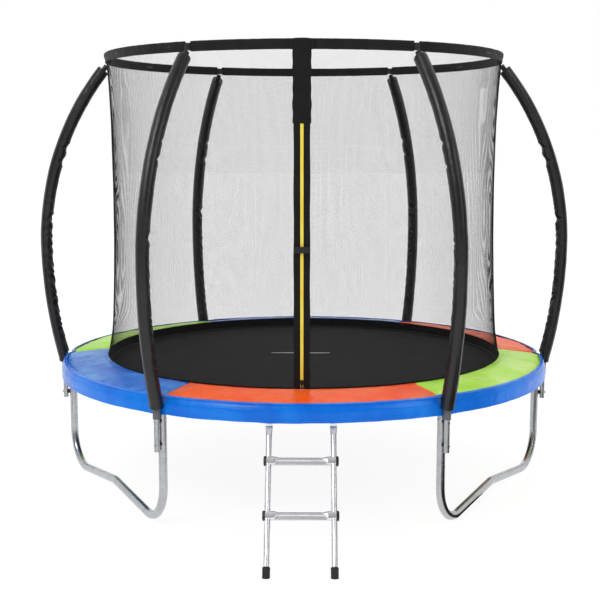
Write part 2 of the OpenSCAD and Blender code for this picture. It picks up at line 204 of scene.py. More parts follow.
def makePlastic(name, colour, deep, rough, grain=500, strength=0.15):
    mat, surface = newFinish(name, Specular_IOR_Level=0.45)
    place = objectPlace(mat)
    wearAndSheen = cloud(mat, place, 40, 5)
    shade(mat, surface, wearAndSheen, (0.3, deep), (0.7, colour))
    roughen(mat, surface, cloud(mat, place, 60, 3), rough, rough + 0.15)
    relief(mat, surface, (cloud(mat, place, grain, 2), strength, 0.0005))
    return mat


steel = makeSteel("galvanised steel", **steelLook)
ladderSteel = makeSteel("bright ladder steel", (232, 233, 235), (212, 214, 217), 0.26, 0.34)
springSteel = makeSteel("zinc plated spring wire", (205, 206, 204), (140, 141, 143), 0.22, 0.36, 200)
blackTube = makePlastic("black painted tube", (26, 26, 28), (16, 16, 18), 0.35)
collarGrey = makePlastic("grey textured plastic", (104, 105, 108), (86, 87, 90), 0.55, 700, 0.4)
blackPlastic = makePlastic("black moulded plastic", (25, 25, 27), (14, 14, 16), 0.38)
blackRubber = makePlastic("black rubber", (44, 44, 45), (28, 28, 29), 0.7, 300, 0.3)
fibreglass = makePlastic("fibreglass rod", (64, 64, 62), (46, 46, 45), 0.4)
webbing = makeCloth("black webbing", (21, 21, 22), (11, 11, 12), 0.0026, 0.72, 0.08, 0.6)
hemCloth = makeCloth("black hem cloth", (13, 13, 14), (7, 7, 8), 0.0022, 0.8, 0.04)
hoopCloth = makeCloth("black hoop cloth", (28, 28, 30), (18, 18, 19), 0.0022, 0.75, 0.08)
netting = makeCloth("black netting", (26, 26, 28), (16, 16, 18), 0.002, 0.65, 0.0)
threadBlack = makeCloth("black thread", (52, 52, 55), (30, 30, 32), 0.001, 0.6, 0.1)
matCloth = makeCloth("woven mat", (36, 36, 38), (27, 27, 29), 0.0034, 0.75, 0.0, 1.0, 0.06)
threadWhite = makeCloth("white thread", (226, 227, 230), (178, 180, 184), 0.0012, 0.7, 0.1)
zipYellow = makeCloth("yellow zip", (255, 240, 104), (250, 220, 66), 0.0018, 0.6, 0.1)
# the second colour of each vinyl is its painted sheen, lighter than the vinyl itself and standing in for
# highlights
vinylOrange = makeVinyl("orange vinyl", (255, 92, 18), (255, 118, 60), (252, 80, 10),
                        glaze=0.02, shine=0.08, **vinylLook)
vinylBlue = makeVinyl("blue vinyl", (10, 112, 210), (96, 160, 226), (0, 90, 196), shine=0.14, **vinylLook)
vinylGreen = makeVinyl("green vinyl", (174, 232, 44), (200, 238, 116), (156, 220, 26),
                       shine=0.14, **vinylLook)
skirtBlue = makeVinyl("blue skirt vinyl", (0, 114, 226), (20, 130, 236), (0, 102, 212),
                      0.18, 0.28, 0.0016, 0.3, 0.08)
sleeveVinyl = makeVinyl("black sleeve vinyl", (15, 15, 17), (24, 24, 26), (9, 9, 10),
                        0.26, 0.40, 0.0016, 0.10, 0.45)
print("finishes made")

# helpers for meshes


def startBuild():
    return {"points": [], "lay": [], "quads": [], "finish": [], "ends": [], "endFinish": [], "count": 0}


def addPoints(build, points, lay):
    build["points"].append(points.reshape(-1, 3))
    build["lay"].append(lay.reshape(-1, 2))
    numbers = np.arange(points.reshape(-1, 3).shape[0]).reshape(points.shape[:-1]) + build["count"]
    build["count"] += numbers.size
    return numbers


def addQuads(build, numbers, finish=0, roundU=False, roundV=False):
    # numbers is a grid of point numbers, or a stack of such grids
    if roundU:
        numbers = np.concatenate([numbers, numbers[..., :1, :]], -2)
    if roundV:
        numbers = np.concatenate([numbers, numbers[..., :1]], -1)
    corners = [numbers[..., :-1, :-1], numbers[..., 1:, :-1], numbers[..., 1:, 1:], numbers[..., :-1, 1:]]
    quads = np.stack(corners, -1).reshape(-1, 4)
    build["quads"].append(quads)
    build["finish"].append(np.full(len(quads), finish))


def laySizes(points):
    along = np.linalg.norm(np.diff(points, axis=0), axis=2).mean(1)
    across = np.linalg.norm(np.diff(points, axis=1), axis=2).mean(0)
    u, v = np.concatenate([[0], along.cumsum()]), np.concatenate([[0], across.cumsum()])
    return np.stack(np.meshgrid(u, v, indexing="ij"), -1)


def addGrid(build, points, roundU=False, roundV=False, finish=0, closed=False):
    numbers = addPoints(build, points, laySizes(points))
    addQuads(build, numbers, finish, roundU, roundV)
    if closed:  # both ends of a tube
        build["ends"] += [numbers[0].tolist(), numbers[-1][::-1].tolist()]
        build["endFinish"] += [finish, finish]
    return numbers


def addShell(build, points, finish=0):  # rings along a solid shape, closed at both ends
    addGrid(build, points, False, True, finish, True)


def gather(*parts):  # coordinates of points, each part spread over the same grid
    return np.stack(np.broadcast_arrays(*parts), -1)


def firstAxis(first, last, count):
    return np.linspace(first, last, count)[:, None]


def secondAxis(first, last, count):
    return np.linspace(first, last, count)[None, :]


def circle(sides):
    return np.linspace(0, 2 * math.pi, sides, endpoint=False)[None, :]


def powered(value, power):  # squarer or rounder, and keeping the sign
    return np.sign(value) * np.abs(value) ** power


def unit(vectors):
    return vectors / np.maximum(np.linalg.norm(vectors, axis=-1, keepdims=True), 1e-12)


def addCloth(build, points, thick, finish=0):
    # a sheet of that thickness over a grid of points, closed all round
    facing = unit(np.cross(np.gradient(points, axis=0), np.gradient(points, axis=1)))
    thick = np.broadcast_to(np.asarray(thick, float), points.shape[:2])[..., None]
    lay = laySizes(points)
    top, under = points + facing * thick / 2, points - facing * thick / 2
    around = np.concatenate([top, under[:, ::-1]], 1)
    numbers = addPoints(build, around, np.concatenate([lay, lay[:, ::-1]], 1))
    addQuads(build, numbers, finish, False, True)
    half = points.shape[1]
    for row in (numbers[0], numbers[-1]):
        addQuads(build, np.stack([row[:half], row[half:][::-1]]), finish)


def sweep(path, radius, sides, start, closed):
    path = np.asarray(path, float)
    ahead = np.roll(path, -1, 0) - np.roll(path, 1, 0) if closed else np.gradient(path, axis=0)
    ahead = unit(ahead)
    side = unit(np.cross(ahead[0], np.asarray(start, float)))
    sidesAt = []
    for direction in ahead:
        side = unit(side - direction * np.dot(side, direction))
        sidesAt.append(side)
    sidesAt = np.array(sidesAt)
    up = np.cross(ahead, sidesAt)
    radius = np.broadcast_to(np.asarray(radius, float), (len(path),))[:, None, None]
    turn = np.linspace(0, 2 * math.pi, sides, endpoint=False)[None, :, None]
    return path[:, None] + radius * (np.cos(turn) * sidesAt[:, None] + np.sin(turn) * up[:, None])


def addTube(build, path, radius, sides, start=(0, 0, 1), closed=False):
    addGrid(build, sweep(path, radius, sides, start, closed), closed, True, 0, not closed)


def addStitches(build, path, length=0.005, gap=0.003, radius=0.0005, finish=1):
    # a row of short threads along a path
    path = np.asarray(path, float)
    run = np.concatenate([[0], np.linalg.norm(np.diff(path, axis=0), axis=1).cumsum()])
    starts = np.arange(gap, run[-1] - length, length + gap)
    ends = [gather(*(np.interp(at, run, part) for part in path.T)) for at in (starts, starts + length)]
    ahead = unit(ends[1] - ends[0])
    side = unit(np.cross(ahead, (0.13, 0.21, 0.97)))
    up = np.cross(ahead, side)
    ring = np.stack([side, up, -side, -up], 1) * radius
    points = np.stack([ends[0][:, None] + ring * 0.5, (ends[0] * 2 + ends[1])[:, None] / 3 + ring,
                       (ends[0] + ends[1] * 2)[:, None] / 3 + ring, ends[1][:, None] + ring * 0.5], 1)
    numbers = addPoints(build, points, points[..., :2])
    addQuads(build, numbers, finish, False, True)
    for row in (0, 3):
        caps = numbers[:, row]
        build["quads"].append(caps[:, ::-1] if row else caps)
        build["finish"].append(np.full(len(caps), finish))


def makePiece(name, build, finishes, body="root", replaces=(), sharp=50, tidy=True):
    mesh = bpy.data.meshes.new(name)
    quads = np.concatenate(build["quads"])
    mesh.from_pydata(np.concatenate(build["points"]), [], quads.tolist() + build["ends"])
    finishNumbers = np.concatenate(build["finish"] + [np.array(build["endFinish"], int)])
    mesh.polygons.foreach_set("material_index", finishNumbers.astype(np.int32))
    mesh.polygons.foreach_set("use_smooth", np.ones(len(mesh.polygons), bool))
    lay = np.concatenate(build["lay"])
    attribute = mesh.attributes.new("lay", "FLOAT_VECTOR", "POINT")
    flatLay = np.column_stack([lay, np.zeros(len(lay))])
    attribute.data.foreach_set("vector", flatLay.astype(np.float32).ravel())
    if tidy:
        turned = bmesh.new()
        turned.from_mesh(mesh)
        bmesh.ops.recalc_face_normals(turned, faces=turned.faces)
        turned.to_mesh(mesh)
        turned.free()
        mesh.set_sharp_from_angle(angle=math.radians(sharp))
    for finish in finishes:
        mesh.materials.append(finish)
    piece = bpy.data.objects.new(name, mesh)
    bpy.context.scene.collection.objects.link(piece)
    if body:
        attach(piece, body)
    if replaces:
        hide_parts(*replaces)
    return piece


upward = np.array((0, 0, 1.0))


def polar(radius, degrees, height):
    turn = np.radians(degrees)
    return gather(radius * np.cos(turn), radius * np.sin(turn), height)


def smooth(value):
    value = np.clip(value, 0, 1)
    return value * value * (3 - 2 * value)


def dent(distance, width):
    return np.exp(-((distance / width) ** 2))


def lumps(points, scale, octaves=3, seed=0.0):  # smooth noise, about -1 to 1
    flat = np.asarray(points, float).reshape(-1, 3) * scale + seed
    made = np.array([noise.fractal(Vector(p), 0.8, 2.1, octaves) for p in flat])
    return made.reshape(np.asarray(points).shape[:-1])


def dress(name, finish):
    nodes[name].data.materials.clear()
    nodes[name].data.materials.append(finish)


# steel frame, legs and pole tubes keep their CAD shapes

carried = {
    "steel": [f"frame_rail_{n}" for n in range(1, 7)] + [f"leg_post_{n}" for n in range(1, 7)]
    + ["leg_base_left", "leg_base_right", "leg_base_back", "pole_lower"],
    "ladder": ["ladder_rail_left", "ladder_rail_right"],
    "black tube": [f"pole_upper_{n}" for n in range(1, 7)],
    "black plastic": ["pole_caps", "pole_spacers", "buckle_socket", "buckle_tongue", "zip_slider"],
    "grey plastic": ["pole_collars"],
    "bolts": ["pole_bolts", "socket_screws"],
    "rods": ["hoop_rods"],
}
carriedFinishes = {
    "steel": steel, "ladder": ladderSteel, "black tube": blackTube, "black plastic": blackPlastic,
    "grey plastic": collarGrey, "bolts": springSteel, "rods": fibreglass,
}
for kind, finish in carriedFinishes.items():
    for name in carried[kind]:
        dress(name, finish)
print("steel dressed")

# net

netSet = {
    "heights": (0.622, 0.655, 0.705, 0.780, 0.985, 1.190, 1.450, 1.780, 1.980, 2.066),
    "radii": (1.004, 0.995, 0.985, 0.979, 0.970, 0.964, 0.9626, 0.967, 0.976, 0.984),
    "pitch": 0.0042, "thread": 0.00047, "low": 0.612, "high": 2.070, "doorReach": 0.17,
    "covers": 0.3,  # the share of a panel that its threads cover
}
doorSet = {"lowRadius": 1.006, "lowHeight": 0.630, "highRadius": 0.9855, "highHeight": 2.060}


def doorRadius(height):
    share = (height - doorSet["lowHeight"]) / (doorSet["highHeight"] - doorSet["lowHeight"])
    return doorSet["lowRadius"] + (doorSet["highRadius"] - doorSet["lowRadius"]) * share


def netRadius(degrees, height):
    soft = sum(np.interp(height + d, netSet["heights"], netSet["radii"]) for d in (-0.03, 0, 0.03)) / 3
    off = np.radians(np.abs(degrees - doorAzimuth))
    pull = smooth(1 - soft * off / netSet["doorReach"])
    door = doorRadius(height) / np.cos(np.minimum(off, 1)) - 0.0025
    sway = 0.0016 * np.sin(np.radians(degrees * 7)) * np.sin(math.pi * (height - 0.622) / 1.444)
    sway = sway + 0.0012 * np.sin(np.radians(degrees * 23) + height * 5)
    return soft + (door - soft) * pull + sway * (1 - pull)


def makeNetPanel(name, first, last):
    build = startBuild()
    half = netSet["thread"] / 2
    # threads round the net
    heights = np.arange(netSet["low"], netSet["high"], netSet["pitch"])[:, None]
    along = np.linspace(first, last, int((last - first) / 1.5) + 1)[None, :]
    # threads up the net
    count = int(math.radians(last - first) * 0.98 / netSet["pitch"])
    across = firstAxis(first, last, count + 1)
    rise = secondAxis(netSet["low"], netSet["high"], 26)
    for degrees, height, twist in ((along, heights, False), (across, rise, True)):
        degrees, height = np.broadcast_arrays(degrees, height)
        middle = polar(netRadius(degrees, height), degrees, height)
        outward = polar(1, degrees, 0 * height)
        beside = polar(1, degrees + 90, 0 * height) if twist else np.zeros_like(outward) + (0, 0, 1)
        corners = [(math.cos(a), math.sin(a)) for a in (0, 2 * math.pi / 3, 4 * math.pi / 3)]
        points = middle[:, :, None] + np.stack([outward * c + beside * d for c, d in corners], 2) * half
        lay = np.zeros(points.shape[:-1] + (2,))
        numbers = addPoints(build, points, lay)
        addQuads(build, numbers, 0, False, True)
        build["ends"] += numbers[:, 0].tolist() + numbers[:, -1, ::-1].tolist()
        build["endFinish"] += [0] * 2 * len(numbers)
    panel = makePiece(name, build, [netting], replaces=("net_wall",), tidy=False)


doorHalf = 1.0  # degrees of the opening each side of the zip
for n in range(5):
    makeNetPanel(f"net_panel_{n + 1}", (n - 1) * sixth, n * sixth)
makeNetPanel("net_door_left", 240, doorAzimuth - doorHalf)
makeNetPanel("net_door_right", doorAzimuth + doorHalf, 300)
print("net made")

# hem at the foot of the net

hemSet = {"radius": 1.0040, "low": 0.5775, "high": 0.6217, "thick": 0.0016}


def makeHem():
    build = startBuild()
    degrees = firstAxis(doorAzimuth + 0.5, doorAzimuth + 359.5, 900)
    rise = secondAxis(0, 1, 11)
    height = hemSet["low"] + (hemSet["high"] - hemSet["low"]) * rise
    base = polar(hemSet["radius"], degrees, height)
    radius = hemSet["radius"] - 0.0012 + 0.0022 * lumps(base, 9) * (0.3 + rise) * 0.7
    radius = radius - 0.0008 * dent(rise - 0.85, 0.05)
    points = polar(radius, degrees, height + 0.0015 * lumps(base, 4, 2, 5.0) * (rise - 0.2))
    addCloth(build, points, hemSet["thick"])
    for row in (1, 9):
        addStitches(build, points[:, row] * (1.0012, 1.0012, 1))
    hem = makePiece("net_hem_band", build, [hemCloth, threadBlack], replaces=("net_hem",))


makeHem()

# hoop sleeve

hoopSet = {"radius": 0.985, "height": 2.088, "tall": 0.044, "wide": 0.0135, "gap": 0.95, "cloth": 0.0012}


def foldOver(count, legShare):
    # round the cloth: the angle over the rod, how far down a leg, and which side
    turn = secondAxis(0, 1, count)
    over = np.clip((turn - legShare) / (1 - 2 * legShare), 0, 1) * math.pi
    leg = np.maximum(legShare - np.minimum(turn, 1 - turn), 0) / legShare
    return over, leg, np.where(turn < 0.5, -1, 1)


def makeHoopSleeve(number, first):
    build = startBuild()
    degrees = firstAxis(first + hoopSet["gap"], first + sixth - hoopSet["gap"], 150)
    over, leg, side = foldOver(33, 0.36)
    half, top = hoopSet["wide"] / 2, hoopSet["tall"] / 2
    narrow = half * (1 - 0.72 * smooth(leg * 1.25))
    sideways = np.where(leg > 0, side * narrow, -half * np.cos(over))
    rise = top - half + np.where(leg > 0, -leg * (2 * top - half), half * np.sin(over))
    base = polar(hoopSet["radius"] + sideways, degrees, hoopSet["height"] + rise)
    puckers = lumps(base * (1, 1, 0.35), 24, 3) * 0.0016 + lumps(base, 7, 2, 3.0) * 0.0012
    radius = hoopSet["radius"] + sideways * (1 + puckers * 160) + puckers * 0.3
    shape = polar(radius, degrees, hoopSet["height"] + rise - np.abs(puckers) * 0.6)
    addCloth(build, shape, hoopSet["cloth"])
    for row in (24, 31):
        addStitches(build, shape[:, row] * (1.0012, 1.0012, 1))
    sleeve = makePiece(f"hoop_sleeve_{number}", build, [hoopCloth, threadBlack],
                       replaces=("hoop_sleeve",))


for n, first in enumerate(poleAzimuths, 1):
    makeHoopSleeve(n, first)
print("hem and hoop sleeve made")

# door: tapes, zip and flap

tapeSet = {"inner": 0.0046, "outer": 0.0355, "thick": 0.0018, "low": 0.622, "high": 2.062, "proud": 0.0022}
zipSet = {"half": 0.0066, "toothPitch": 0.005, "low": 0.624, "high": 2.050, "proud": 0.0034}
flapSet = {"half": 0.0395, "low": 1.757, "front": -0.9962, "back": -0.9735, "top": 2.1105, "thick": 0.0026,
           "patchHalf": 0.052, "patchDeep": 0.0094}


def onDoor(x, height, proud):
    return gather(x, -(doorRadius(height) + proud), height)


def makeTape(name, side):
    build = startBuild()
    height = firstAxis(tapeSet["low"], tapeSet["high"], 160)
    x = side * secondAxis(tapeSet["inner"], tapeSet["outer"], 9)
    base = onDoor(x, height, 0)
    ripple = 0.0009 * lumps(base * (3, 1, 1), 8, 2, side * 3.0)
    points = onDoor(x + 0.0008 * np.sin(height * 21 + side), height, tapeSet["proud"] + ripple)
    addCloth(build, points, tapeSet["thick"])
    for row in (1, 7):
        addStitches(build, points[:, row] + (0, -0.0011, 0), 0.0045, 0.0025)
    tape = makePiece(name, build, [webbing, threadBlack], replaces=("door_tapes",))


def makeZip():
    build = startBuild()
    height = firstAxis(zipSet["low"], zipSet["high"], 120)
    x = secondAxis(-zipSet["half"], zipSet["half"], 5)
    addCloth(build, onDoor(x, height, zipSet["proud"]), 0.0008)
    # two rows of coil loops that mesh down the middle
    count = int((zipSet["high"] - zipSet["low"]) / zipSet["toothPitch"])
    turn = secondAxis(0, 2 * math.pi, 9)
    for side in (-1, 1):
        start = zipSet["low"] + (np.arange(count)[:, None] + 0.25 * (1 + side)) * zipSet["toothPitch"]
        height = start + zipSet["toothPitch"] * turn / (2 * math.pi)
        proud = zipSet["proud"] + 0.0009 + 0.0007 * np.sin(turn)
        path = onDoor(side * (0.0012 + 0.0021 * np.cos(turn)), height, proud)[:, :-1].reshape(-1, 3)
        addTube(build, path, 0.00055, 4, start=(0, 1, 0))
    zipStrip = makePiece("zip_strip", build, [zipYellow], replaces=("door_zip",))


def makeFlap():
    build = startBuild()
    # the line of the cloth from inside the net, over the hoop and down the front
    back, top = flapSet["back"], flapSet["top"]
    over = np.linspace(0, math.pi, 13)
    middle, reach = (back + flapSet["front"]) / 2, (back - flapSet["front"]) / 2
    line = [(back, h) for h in np.linspace(2.052, top - reach, 6)]
    line += [(middle + reach * math.cos(a), top - reach + reach * math.sin(a)) for a in over]
    line += [(flapSet["front"], h) for h in np.linspace(top - reach, flapSet["low"], 60)[1:]]
    line = np.array(line)
    x = secondAxis(-1, 1, 17)
    down = firstAxis(0, 1, len(line))
    half = flapSet["half"] * (1 + 0.02 * np.sin(down * 17)) + 0.0012 * np.sin(down * 40)
    points = gather(x * half, line[:, :1], line[:, 1:])
    hang = smooth((2.06 - line[:, 1:]) / 0.25) * (line[:, :1] < middle)
    ripple = lumps(points, 16, 3, 2.0) * 0.0014 + lumps(points * (1, 0, 0.2), 30, 2, 7.0) * 0.0012
    points[..., 1] -= ripple * hang * 0.8 + 0.0012 * hang * x**2
    points[..., 2] += 0.0012 * (1 - x**4) * (line[:, 1:] > 2.08) - 0.0015 * x**2 * (line[:, 1:] > 2.08)
    addCloth(build, points, flapSet["thick"])
    for column in (1, 15):
        addStitches(build, points[20:-1, column] + (0, -0.0015, 0), 0.0045, 0.0025)
    addStitches(build, points[-3] + (0, -0.0015, 0), 0.0045, 0.0025)
    flap = makePiece("zip_flap", build, [webbing, threadBlack], replaces=("door_flap",))


def makePatch():
    # the stitched patch that joins the sleeve ends above the door
    build = startBuild()
    reach = np.degrees(flapSet["patchHalf"] / hoopSet["radius"])
    degrees = doorAzimuth + firstAxis(-1, 1, 25) * reach
    over, leg, side = foldOver(21, 0.3)
    half = flapSet["patchDeep"]
    sideways = np.where(leg > 0, side * half, -half * np.cos(over))
    rise = 0.0155 - leg * 0.038 + np.where(leg > 0, 0, half * 0.6 * np.sin(over))
    shape = polar(hoopSet["radius"] + sideways, degrees, hoopSet["height"] + rise)
    addCloth(build, shape, 0.0014)
    patch = makePiece("flap_patch", build, [hoopCloth])


makeTape("door_tape_left", -1)
makeTape("door_tape_right", 1)
makeZip()
makeFlap()
makePatch()
print("door made")

# foam sleeves of the poles

foamSet = {
    "radius": 0.0305, "bore": 0.0135,
    "pleats": (0.27, 0.325, 0.53), "pleatDepth": 0.0065, "pleatHalf": 0.026, "clearOf": 1.2365,
    "rows": 330, "sides": 56,
}
poleSet = {
    "arcs": (((1.398, 0.5442), 0.150, 180 - 0.8, 180 - 14.26), ((-1.025, 1.160), 2.350, -14.26, 0.0),
             ((-0.075, 1.160), 1.400, 0.0, 39.05)),
}


def poleLine(count):
    line = []
    for (centreR, centreZ), radius, first, last in poleSet["arcs"]:
        turn = np.radians(np.linspace(first, last, 200))
        line.append(np.column_stack([centreR + radius * np.cos(turn), centreZ + radius * np.sin(turn)]))
    line = np.concatenate(line)
    keep = np.concatenate([[True], np.linalg.norm(np.diff(line, axis=0), axis=1) > 1e-6])
    line = line[keep]
    run = np.concatenate([[0], np.linalg.norm(np.diff(line, axis=0), axis=1).cumsum()])
    at = np.linspace(0, run[-1], count)
    return np.column_stack([np.interp(at, run, line[:, 0]), np.interp(at, run, line[:, 1])]), at


def makeFoam(number, azimuth):
    rows, sides = foamSet["rows"], foamSet["sides"]
    line, run = poleLine(rows)
    ahead = unit(np.gradient(line, axis=0))
    turn = circle(sides)
    down = 1 - (run / run[-1])[:, None]  # 0 at the top
    length = run[-1]
    inner = 0.5 - 0.5 * np.cos(turn)  # 1 on the side that faces the net
    seed = number * 7.31
    place = gather(down * length, np.cos(turn) * 0.05, np.sin(turn) * 0.05)
    wide = lumps(place, 6, 2, seed) * 0.0011
    fine = lumps(place * (1, 1.6, 1.6), 34, 3, seed + 3)
    zigzag = down * length / 0.047 + 0.55 * np.sin(turn * 2 + seed) + 0.9 * lumps(place, 11, 2, seed + 9)
    crinkle = 1 - np.abs(2 * (zigzag % 1) - 1)
    lower = smooth((down - 0.42) / 0.14) * (1 - smooth((down - 0.90) / 0.06))
    shape = foamSet["radius"] + wide + fine * 0.0009 * (0.25 + 0.75 * inner)
    shape = shape - lower * inner**1.6 * (0.0040 * smooth(crinkle * 1.3) + 0.0016 * np.abs(fine))
    for n, at in enumerate(foamSet["pleats"]):
        # a diamond fold on the inner side of the bend
        across = np.abs(((turn - math.pi + 0.5 * math.sin(seed + n)) + math.pi) % (2 * math.pi) - math.pi)
        reach = foamSet["pleatHalf"] * np.clip(1.25 - across / 1.5, 0, 1)
        away = np.abs(down - at - 0.012 * math.sin(seed * 2 + n)) * length
        fold = np.where(reach > 1e-4, np.clip(1 - away / np.maximum(reach, 1e-4), 0, 1), 0)
        lip = dent(away - foamSet["pleatHalf"] * 1.15, 0.006) * np.clip(1.2 - across / 1.6, 0, 1)
        shape = shape - foamSet["pleatDepth"] * fold**0.8 + 0.0016 * lip
    shape = shape + 0.0016 * dent(turn - 4.15, 0.06)  # welt of the long seam
    endings = np.minimum(run, length - run)[:, None]
    shape = shape - 0.0012 * dent(endings, 0.0025)
    across = polar(1, azimuth, 0)
    beside = polar(1, azimuth + 90, 0)
    middle = line[:, :1] * across + line[:, 1:] * upward
    normal = ahead[:, 1:] * across - ahead[:, :1] * upward
    around = np.cos(turn)[..., None] * normal[:, None] + np.sin(turn)[..., None] * beside
    points = middle[:, None] + shape[..., None] * around
    # the foot is squeezed against the skirt
    outward = points @ across
    squeezed = np.maximum(outward, foamSet["clearOf"]) - outward
    points = points + (squeezed * (points[..., 2] < 0.598))[..., None] * across
    # foam ends, turned in to the tube
    rims = []
    shares = (foamSet["bore"] / foamSet["radius"], 0.7, 0.93)
    for row in (0, -1):
        rims.append([middle[row] + (points[row] - middle[row]) * share for share in shares])
    points = np.concatenate([np.array(rims[0]), points, np.array(rims[1][::-1])])
    build = startBuild()
    addShell(build, points)
    seam = points[3:-3, int(4.15 / (2 * math.pi) * sides)]
    addStitches(build, seam, 0.006, 0.004, 0.0006, 1)
    # pull tab at the lower end, on the inner side
    tabHeight = firstAxis(0, 1, 9)
    tabWide = secondAxis(-1, 1, 5)
    inward = -0.031 - 0.007 * np.sin(tabHeight * 2.6)
    curl = gather(inward, 0.011 * tabWide, 0.036 * (1 - tabHeight) - 0.008)
    foot = middle[0]
    tab = foot + curl[..., :1] * across + curl[..., 1:2] * beside + curl[..., 2:] * upward
    addCloth(build, tab, 0.0016)
    sleeve = makePiece(f"foam_sleeve_{number}", build, [sleeveVinyl, threadBlack],
                       replaces=(f"pole_foam_{number}",), sharp=70)


for n, azimuth in enumerate(poleAzimuths, 1):
    makeFoam(n, azimuth)
print("foam sleeves made")

# pads and skirt

padSet = {
    "inner": 1.008, "outer": 1.2215, "innerTop": 0.619, "outerTop": 0.5940, "thick": 0.0155,
    "rows": 150, "around": 56,
}
padFinishes = {
    "pad_front": (240, vinylOrange, "vinyl_orange"), "pad_front_left": (180, vinylBlue, "vinyl_blue"),
    "pad_back_left": (120, vinylGreen, "vinyl_green"), "pad_back": (60, vinylBlue, "vinyl_blue"),
    "pad_back_right": (0, vinylOrange, "vinyl_orange"), "pad_front_right": (300, vinylGreen, "vinyl_green"),
}


def poleDistance(degrees, radius):
    return np.radians(np.abs((degrees + sixth / 2) % sixth - sixth / 2)) * radius


def makePad(name):
    first, finish, slot = padFinishes[name]
    gap = 0.05
    degrees = firstAxis(first + gap, first + sixth - gap, padSet["rows"])
    turn = circle(padSet["around"])
    share = 0.5 - 0.5 * powered(np.cos(turn), 0.42)
    lift = powered(np.sin(turn), 0.85)
    away = poleDistance(degrees, 1.12)
    inner = padSet["inner"] + 0.0006 * np.sin(np.radians(degrees * 31))
    outer = padSet["outer"] - 0.013 * dent(away, 0.038)
    radius = inner + (outer - inner) * share
    middle = padSet["innerTop"] + (padSet["outerTop"] - padSet["innerTop"]) * share - padSet["thick"] / 2
    half = padSet["thick"] / 2 * (1 - 0.55 * dent(away, 0.011))
    base = polar(radius, degrees, middle + half * lift)
    top = smooth(lift * 2)
    crown = 0.0026 * (1 - (2 * share - 1) ** 4) * (1 - dent(away, 0.03))
    folds = lumps(base * (1, 1, 0.2), 6, 4, first * 1.7) * 0.0036
    # puckers that run in from both edges
    edge = dent(share, 0.28) + dent(share - 1, 0.22)
    puckers = lumps(polar(1.1, degrees, 0.12 * share), 22, 3, first + 5.0) * 0.0026 * edge
    rows = sum(dent((share - at) * (outer - inner), 0.0028) for at in (0.06, 0.945))
    lifted = middle + half * lift + top * (crown + folds + puckers - 0.0018 * rows)
    points = polar(radius, degrees, lifted)
    build = startBuild()
    addShell(build, points)
    column = int(np.argmin(np.abs(share[0] - 0.06) + (lift[0] < 0)))
    addStitches(build, points[2:-2, column] + (0, 0, 0.0005), 0.0055, 0.0035, 0.0006, 0)
    # binding along the inner edge
    binding = polar(inner[:, 0] - 0.001, degrees[:, 0], padSet["innerTop"] - 0.0075)
    addTube(build, binding, 0.0042, 8)
    pad = makePiece(name + "_cover", build, [finish], replaces=(name,), sharp=60)


for name in padFinishes:
    makePad(name)
print("pads made")

skirtSet = {
    "radius": 1.2345, "low": 0.5185, "top": 0.5905, "thick": 0.0011, "belly": 0.0030,
    "at": (0, 0.12, 0.20, 0.28, 0.34, 0.40, 0.50, 0.64, 0.74, 1.0),
    "in": (-0.0250, -0.0150, -0.0110, -0.0080, -0.0102, -0.0086, -0.0052, -0.0008, 0.0, 0.0),
    "heights": (0.5996, 0.5984, 0.5974, 0.5940, 0.5912, 0.5890, 0.5830, 0.5730, 0.5650, 0.5185),
}


def makeSkirt(name, first, cadNode):
    degrees = firstAxis(first + 0.03, first + sixth - 0.03, 260)
    away = poleDistance(degrees, skirtSet["radius"])
    # section: from the lip on the pads, over the rolled edge and down
    turn = secondAxis(0, 1, 44)
    radial = skirtSet["radius"] + np.interp(turn, skirtSet["at"], skirtSet["in"])
    height = np.interp(turn, skirtSet["at"], skirtSet["heights"])
    over = np.clip((turn - 0.12) / 0.3, 0, 1)
    fall = np.clip((turn - 0.64) / 0.36, 0, 1)
    base = polar(radial, degrees, height)
    creases = lumps(polar(1.2, degrees, 0.35 * height), 11, 4, first + 2.0)
    folds = lumps(base * (1, 1, 0.5), 5, 2, first + 8.0)
    radial = radial + skirtSet["belly"] * np.sin(np.clip(fall * 1.15, 0, 1) * math.pi) * (0.6 + 0.8 * folds)
    radial = radial - 0.0022 * np.abs(creases) * smooth(fall * 3) + 0.0016 * folds * (over > 0)
    height = height + 0.0016 * folds * over - 0.0015 * creases * fall
    height = height + 0.0012 * lumps(base, 16, 3, first) * (over < 1)
    # room for the ladder's hooks inside the skirt
    hooks = dent(np.abs(polar(radial, degrees, 0)[..., 0]) - 0.134, 0.022) * (name == "skirt_front_panel")
    radial = radial + hooks * (0.0025 + 0.0022 * np.abs(creases)) * smooth(fall * 4)
    # room for the pole and its foam
    squeeze = dent(away, 0.036)
    radial = radial - squeeze * np.where(height > 0.572, 0.016, 0.0035)
    height = height - squeeze * 0.004 * (over > 0.2)
    points = polar(radial, degrees, height)
    build = startBuild()
    thick = skirtSet["thick"] * (1 + 0.9 * smooth((fall - 0.82) / 0.04))
    addCloth(build, points, thick)
    for row in (2, 40):
        proud = (1, 1, 1) if row < 9 else (1.0007, 1.0007, 1)
        line = points[:, row] * proud + (0, 0, 0.0007 if row < 9 else 0)
        addStitches(build, line, 0.0055, 0.0035, 0.0006, 0)
    skirt = makePiece(name, build, [skirtBlue], replaces=(cadNode,), sharp=60)
    return skirt


for n, first in enumerate((300, 0, 60, 120, 180), 1):
    makeSkirt(f"skirt_panel_{n}", first, "skirt")
frontSkirt = makeSkirt("skirt_front_panel", 240, "skirt_front")
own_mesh(frontSkirt)
print("skirt made")
